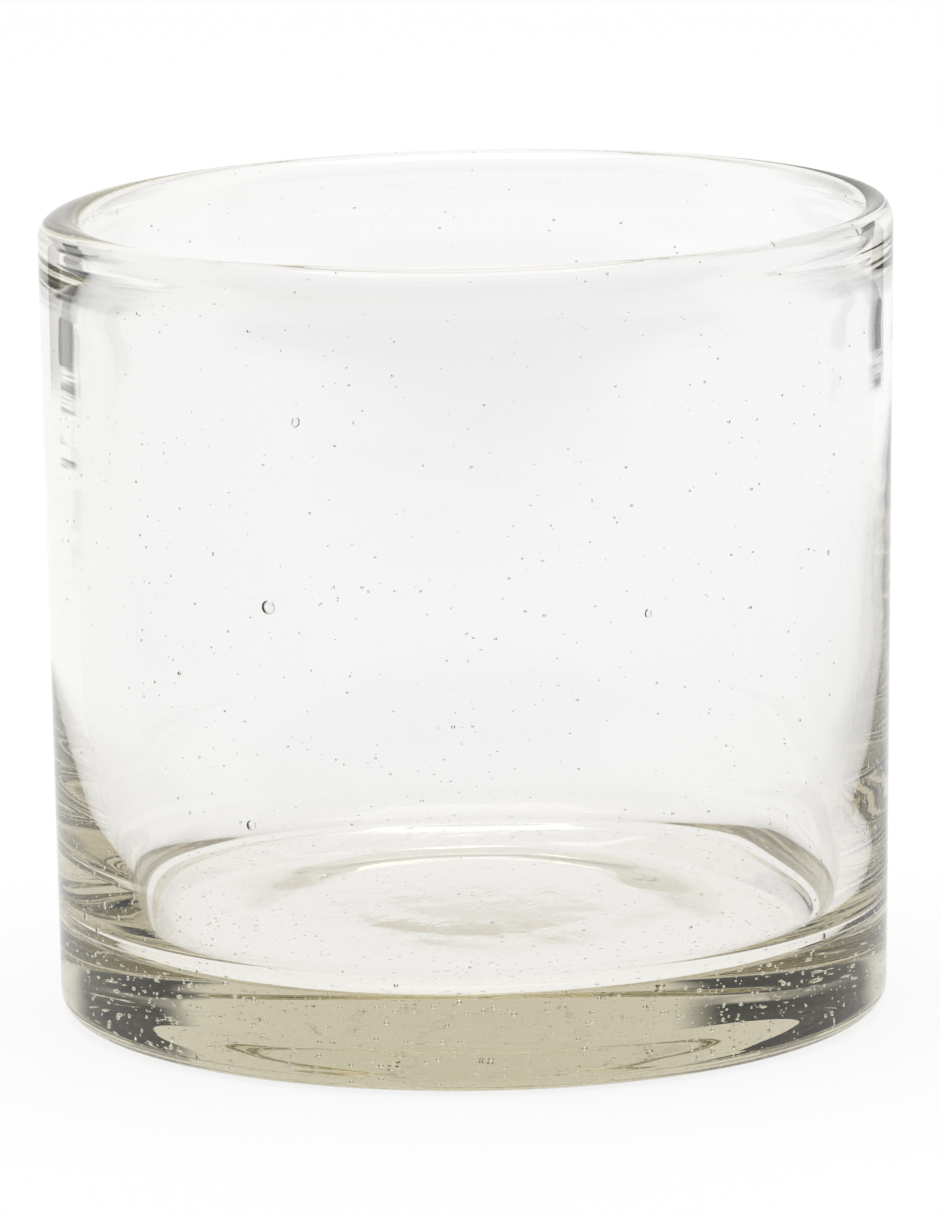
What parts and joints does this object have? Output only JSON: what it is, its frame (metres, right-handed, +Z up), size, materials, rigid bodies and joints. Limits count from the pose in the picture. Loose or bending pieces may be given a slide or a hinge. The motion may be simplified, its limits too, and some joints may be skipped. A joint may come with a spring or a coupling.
{
  "type": "water glass",
  "caption": "Short hand-blown clear tumbler with a rounded lip bead, upright wall and thick bubbly base; holds about 410 ml to the brim.",
  "frame": {"origin": "on the glass's own axis, in the plane of the foot that stands on the table", "axes": "+Z up along the axis, from the foot to the lip; +X to the right and -Y towards the viewer in the picture"},
  "size_m": [0.09, 0.09, 0.0855],
  "materials": {
    "bubble_glass": "fire-polished clear glass with a faint olive cast and small air bubbles"
  },
  "bodies": {
    "root": {"tumbler": "bubble_glass"}
  },
  "joints": []
}
